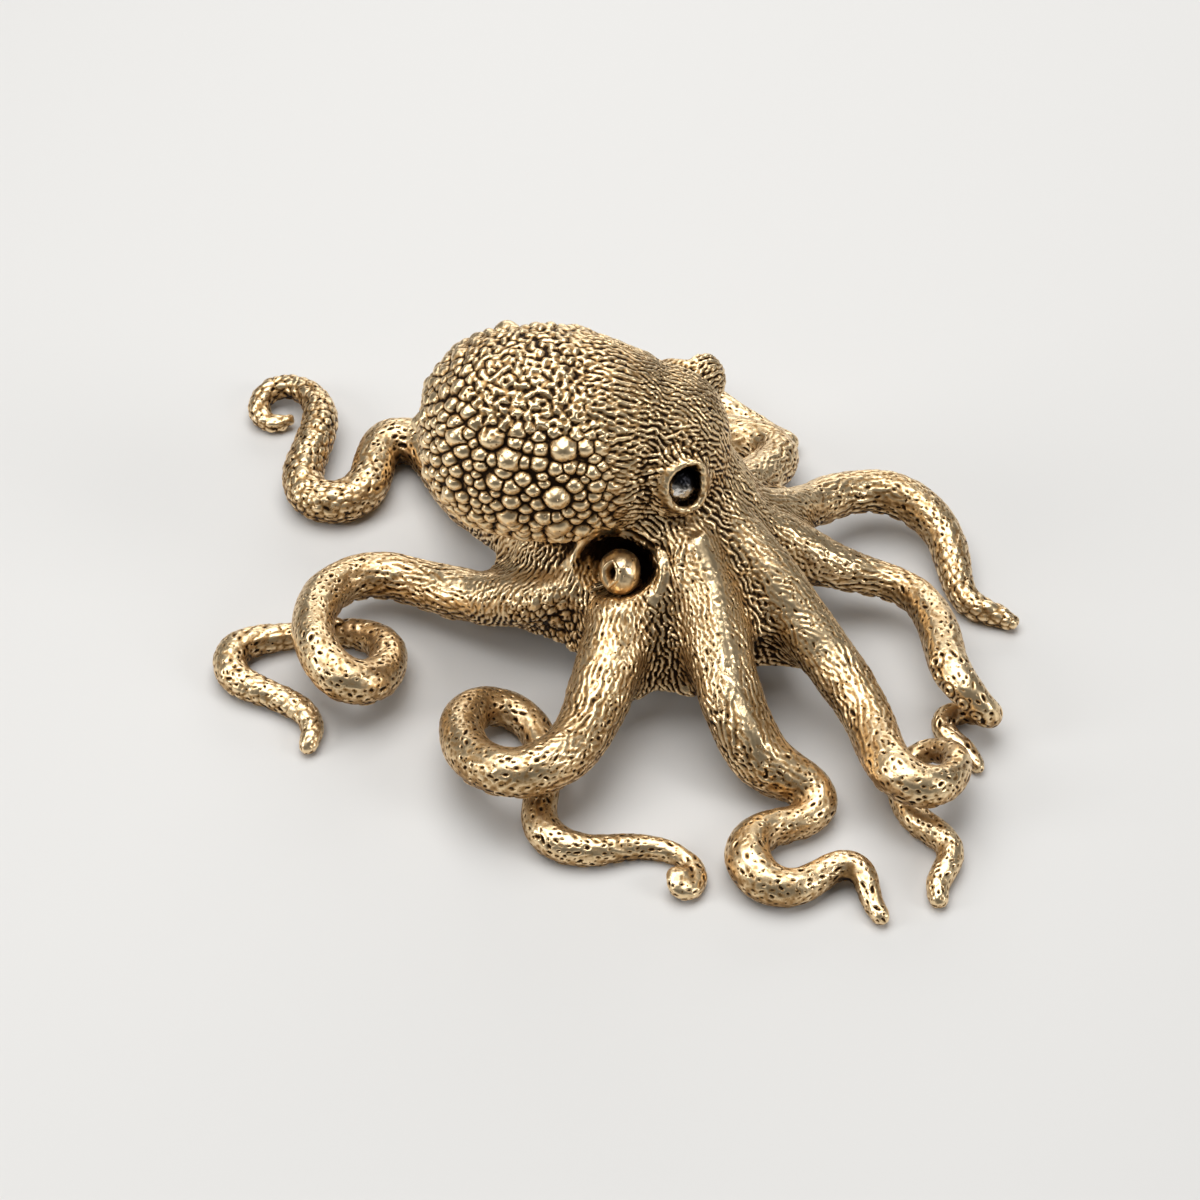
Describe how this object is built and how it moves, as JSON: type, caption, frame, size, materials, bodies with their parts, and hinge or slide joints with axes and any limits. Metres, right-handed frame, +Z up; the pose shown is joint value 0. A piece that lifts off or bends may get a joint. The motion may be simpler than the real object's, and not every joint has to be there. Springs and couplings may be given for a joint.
{
  "type": "octopus figurine",
  "caption": "Small cast brass octopus figurine with a pebbled mantle, set eyes and coiled arms that it rests on.",
  "frame": {"origin": "centre of the footprint of the whole figurine, on the ground under the arms", "axes": "+X from the mantle tip towards the face, +Y away from the front arms, +Z up"},
  "size_m": [0.0685, 0.063, 0.0276],
  "materials": {
    "antique_brass": "polished high points over dark patina",
    "dark_eye": "blackened and polished"
  },
  "bodies": {
    "root": {"head_and_web": "antique_brass", "mantle": "antique_brass", "siphon": "antique_brass", "front_eye": "dark_eye", "rear_eye": "dark_eye", "front_left_arm": "antique_brass", "left_arm": "antique_brass", "rear_left_arm": "antique_brass", "front_arm": "antique_brass", "front_right_arm": "antique_brass", "right_arm": "antique_brass", "rear_right_arm": "antique_brass", "rear_arm": "antique_brass"}
  },
  "joints": []
}
